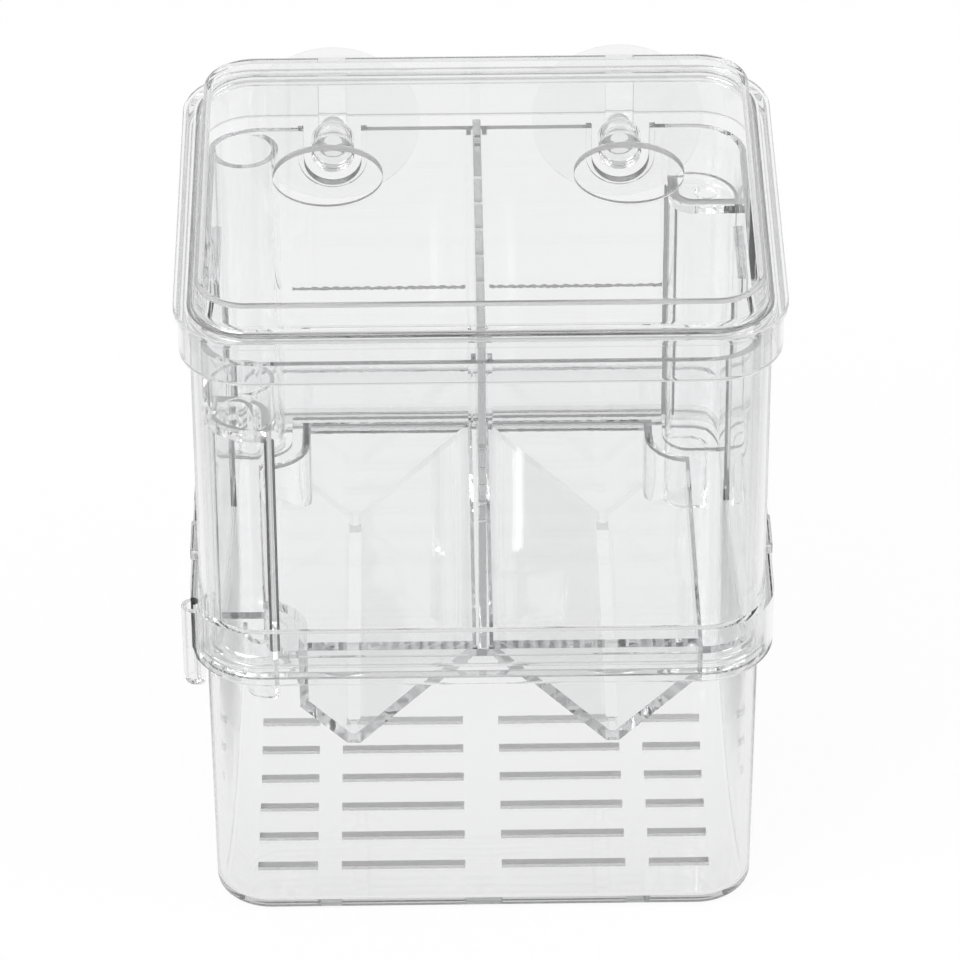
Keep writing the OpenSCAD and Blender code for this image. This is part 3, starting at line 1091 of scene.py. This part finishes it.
@dataclass
class Divider:
    """Loose sheet between the halves, with slots at its top."""

    plan: TrayPlan = field(default_factory=TrayPlan)
    half: float = 0.95
    top: float = 161.0
    slots: int = 5
    pitch: float = 11.05
    slot_w: float = 1.0
    slot_foot: float = 103.0
    slots_y: float = -4.9

    def build(self, finish: bpy.types.Material) -> None:
        """Make the divider."""
        plan = self.plan
        front = plan.y - plan.d / 2 + plan.wall + 0.2
        back = plan.y + plan.d / 2 - plan.wall - 0.2
        piece = brick("divider_sheet", (-self.half, self.half), (front, back),
                      (plan.plate_top + AIR, self.top))
        for i in range(self.slots):
            y = self.slots_y + (i - (self.slots - 1) / 2) * self.pitch
            cut(piece, brick("gap", (-3.0, 3.0), (y - self.slot_w / 2, y + self.slot_w / 2),
                             (self.slot_foot, self.top + 3.0)))
        soften(piece, 0.2)
        dress(piece, finish, "divider_body", "clear_box", "divider")


@dataclass
class SuctionCup:
    """Soft cup with its knob and neck."""

    side: Side
    x: float = 34.2
    z: float = 150.0
    radius: float = 20.8
    apex: float = 58.4
    rise: float = 2.6
    thick: float = 1.1

    def profile(self) -> list[Point]:
        """Radius and y from the knob's front face round to the inside of the cup."""
        knob = [(0.0, 45.9), (3.6, 45.9), (4.6, 46.2), (5.1, 46.9), (5.0, 47.6), (4.3, 48.2), (3.9, 48.9),
                (3.9, 49.6), (4.4, 50.4), (5.1, 50.9), (5.1, 52.0), (4.7, 52.7), (2.9, 52.8), (2.9, 57.4)]
        steps = 20
        radii = [2.9 + (self.radius - 2.9) * i / steps for i in range(1, steps + 1)]
        dome = [(r, self.apex + self.rise * (r / self.radius) ** 2) for r in radii]
        inside = [(r, y + (self.thick if r < self.radius - 2.0 else 0.5)) for r, y in reversed(dome)]
        return knob + [(3.4, 58.2)] + dome + inside + [(0.0, self.apex + self.thick)]

    def build(self, finish: bpy.types.Material) -> None:
        """Make the cup."""
        name = self.side.name.lower()
        piece = turned(f"cup_{name}_soft", self.profile(), self.side.value * self.x, self.z)
        take(piece)
        bpy.ops.object.shade_smooth_by_angle(angle=math.radians(50.0))
        dress(piece, finish, f"cup_{name}_body", "soft_clear", f"cup_{name}")


# Studio


@dataclass
class Studio:
    """Pale floor, soft light and the camera."""

    eye: tuple[float, float, float] = (-0.0109, -1.1358, 0.8977)
    tilt: float = 54.5
    turn: float = -0.55
    roll: float = -0.3
    lens: float = 219.75
    near_glow: float = 0.965
    far_glow: float = 0.55
    low_sky: float = 0.92
    high_sky: float = 0.5

    def world(self) -> None:
        """White where it is seen straight on, and darker above for what the plastic bends away."""
        world = bpy.data.worlds.new("studio")
        bpy.context.scene.world = world
        world.use_nodes = True
        nodes, links = world.node_tree.nodes, world.node_tree.links
        nodes.clear()
        out = nodes.new("ShaderNodeOutputWorld")
        glow = nodes.new("ShaderNodeBackground")
        plain = nodes.new("ShaderNodeBackground")
        plain.inputs["Color"].default_value = (1.0, 1.0, 1.0, 1.0)
        place = nodes.new("ShaderNodeTexCoord")
        split = nodes.new("ShaderNodeSeparateXYZ")
        ramp = nodes.new("ShaderNodeMapRange")
        ramp.interpolation_type = "SMOOTHSTEP"
        ramp.inputs["From Min"].default_value = 0.3
        ramp.inputs["From Max"].default_value = 1.0
        ramp.inputs["To Min"].default_value = self.low_sky
        ramp.inputs["To Max"].default_value = self.high_sky
        path = nodes.new("ShaderNodeLightPath")
        mix = nodes.new("ShaderNodeMixShader")
        links.new(place.outputs["Generated"], split.inputs["Vector"])
        links.new(split.outputs["Z"], ramp.inputs["Value"])
        links.new(ramp.outputs["Result"], glow.inputs["Color"])
        links.new(path.outputs["Is Camera Ray"], mix.inputs["Fac"])
        links.new(glow.outputs["Background"], mix.inputs[1])
        links.new(plain.outputs["Background"], mix.inputs[2])
        links.new(mix.outputs["Shader"], out.inputs["Surface"])

    def floor(self) -> None:
        """Pale floor that keeps the object's shadow, and glows less away from the object."""
        let_go()
        bpy.ops.mesh.primitive_plane_add(size=8.0, location=(0.0, 0.0, -0.0002))
        floor = named("studio_floor")
        mat = bpy.data.materials.new("studio_floor")
        mat.use_nodes = True
        nodes, links = mat.node_tree.nodes, mat.node_tree.links
        shader = nodes["Principled BSDF"]
        shader.inputs["Base Color"].default_value = (0.9, 0.9, 0.9, 1.0)
        shader.inputs["Roughness"].default_value = 0.9
        place = nodes.new("ShaderNodeTexCoord")
        spread = nodes.new("ShaderNodeMapping")
        spread.vector_type = "TEXTURE"
        spread.inputs["Location"].default_value = (0.0, 0.2, 0.0)
        spread.inputs["Scale"].default_value = (0.25, 0.3, 1.0)
        away = nodes.new("ShaderNodeVectorMath")
        away.operation = "LENGTH"
        fall = nodes.new("ShaderNodeMapRange")
        fall.interpolation_type = "SMOOTHSTEP"
        fall.inputs["From Min"].default_value = 0.6
        fall.inputs["From Max"].default_value = 1.35
        fall.inputs["To Min"].default_value = self.near_glow
        fall.inputs["To Max"].default_value = self.far_glow
        links.new(place.outputs["Object"], spread.inputs["Vector"])
        links.new(spread.outputs["Vector"], away.inputs[0])
        links.new(away.outputs["Value"], fall.inputs["Value"])
        path = nodes.new("ShaderNodeLightPath")
        level = nodes.new("ShaderNodeMix")
        level.data_type = "FLOAT"
        level.inputs["B"].default_value = 1.0
        links.new(path.outputs["Is Camera Ray"], level.inputs["Factor"])
        links.new(fall.outputs["Result"], level.inputs["A"])
        glow = nodes.new("ShaderNodeEmission")
        glow.inputs["Color"].default_value = (1.0, 1.0, 1.0, 1.0)
        links.new(level.outputs["Result"], glow.inputs["Strength"])
        seen = nodes.new("ShaderNodeMath")
        seen.operation = "MAXIMUM"
        seen_more = nodes.new("ShaderNodeMath")
        seen_more.operation = "MAXIMUM"
        scale = nodes.new("ShaderNodeMath")
        scale.operation = "MULTIPLY"
        scale.inputs[1].default_value = 0.94
        mix = nodes.new("ShaderNodeMixShader")
        links.new(path.outputs["Is Camera Ray"], seen.inputs[0])
        links.new(path.outputs["Is Glossy Ray"], seen.inputs[1])
        links.new(seen.outputs["Value"], seen_more.inputs[0])
        links.new(path.outputs["Is Transmission Ray"], seen_more.inputs[1])
        links.new(seen_more.outputs["Value"], scale.inputs[0])
        links.new(scale.outputs["Value"], mix.inputs["Fac"])
        links.new(shader.outputs["BSDF"], mix.inputs[1])
        links.new(glow.outputs["Emission"], mix.inputs[2])
        links.new(mix.outputs["Shader"], nodes["Material Output"].inputs["Surface"])
        floor.data.materials.append(mat)

    def lamps(self) -> None:
        """Two broad soft lamps."""
        middle = Vector((0.0, 0.0, 0.09))
        for name, place, power in (("key", (-0.7, -0.5, 1.1), 9.0), ("fill", (0.9, -0.2, 0.9), 5.0)):
            let_go()
            bpy.ops.object.light_add(type="AREA", location=place)
            lamp = bpy.context.object
            lamp.name = name
            lamp.data.size = 0.8
            lamp.data.energy = power
            lamp.rotation_euler = (middle - Vector(place)).to_track_quat("-Z", "Y").to_euler()

    def camera(self) -> None:
        """The photograph's view."""
        let_go()
        aim = Matrix.Rotation(math.radians(self.turn), 3, "Z")
        aim = aim @ Matrix.Rotation(math.radians(self.tilt), 3, "X")
        aim = aim @ Matrix.Rotation(math.radians(self.roll), 3, "Z")
        bpy.ops.object.camera_add(location=self.eye, rotation=aim.to_euler())
        view = bpy.context.object
        view.data.lens = self.lens
        view.data.sensor_width = 36.0
        view.data.clip_end = 20.0
        bpy.context.scene.camera = view

    def build(self) -> None:
        """Set up the whole studio."""
        self.world()
        self.floor()
        self.lamps()
        self.camera()
        scene = bpy.context.scene
        scene.view_settings.view_transform = "Standard"
        scene.cycles.max_bounces = 72
        scene.cycles.transmission_bounces = 48
        scene.cycles.glossy_bounces = 56
        scene.cycles.transparent_max_bounces = 40


def main() -> None:
    """Build every sub-assembly, then the studio."""
    logging.basicConfig(level=logging.INFO, format="%(message)s")
    clear = BOX_FINISH.build()
    soft = CUP_FINISH.build()
    # Painted shade: the light grey, mid grey and near-black finishes built here tint faces where the real
    # plastic bends light away; the bond finish is near white.
    light_grey_shade = LIGHT_GREY_PAINTED_SHADE.build()
    bond = BOND_FINISH.build()
    edge = MID_GREY_PAINTED_SHADE.build()
    dark = NEAR_BLACK_PAINTED_SHADE.build()
    LowerBox().build(clear, light_grey_shade)
    UpperBox().build(clear, edge)
    SpawningTray().build(clear, light_grey_shade, edge, dark)
    TroughFloor().build(clear, bond)
    Divider().build(clear)
    Lid().build(clear, edge, bond)
    for side in Side:
        SuctionCup(side).build(soft)
    Studio().build()
    let_go()


if __name__ == "__main__":
    main()
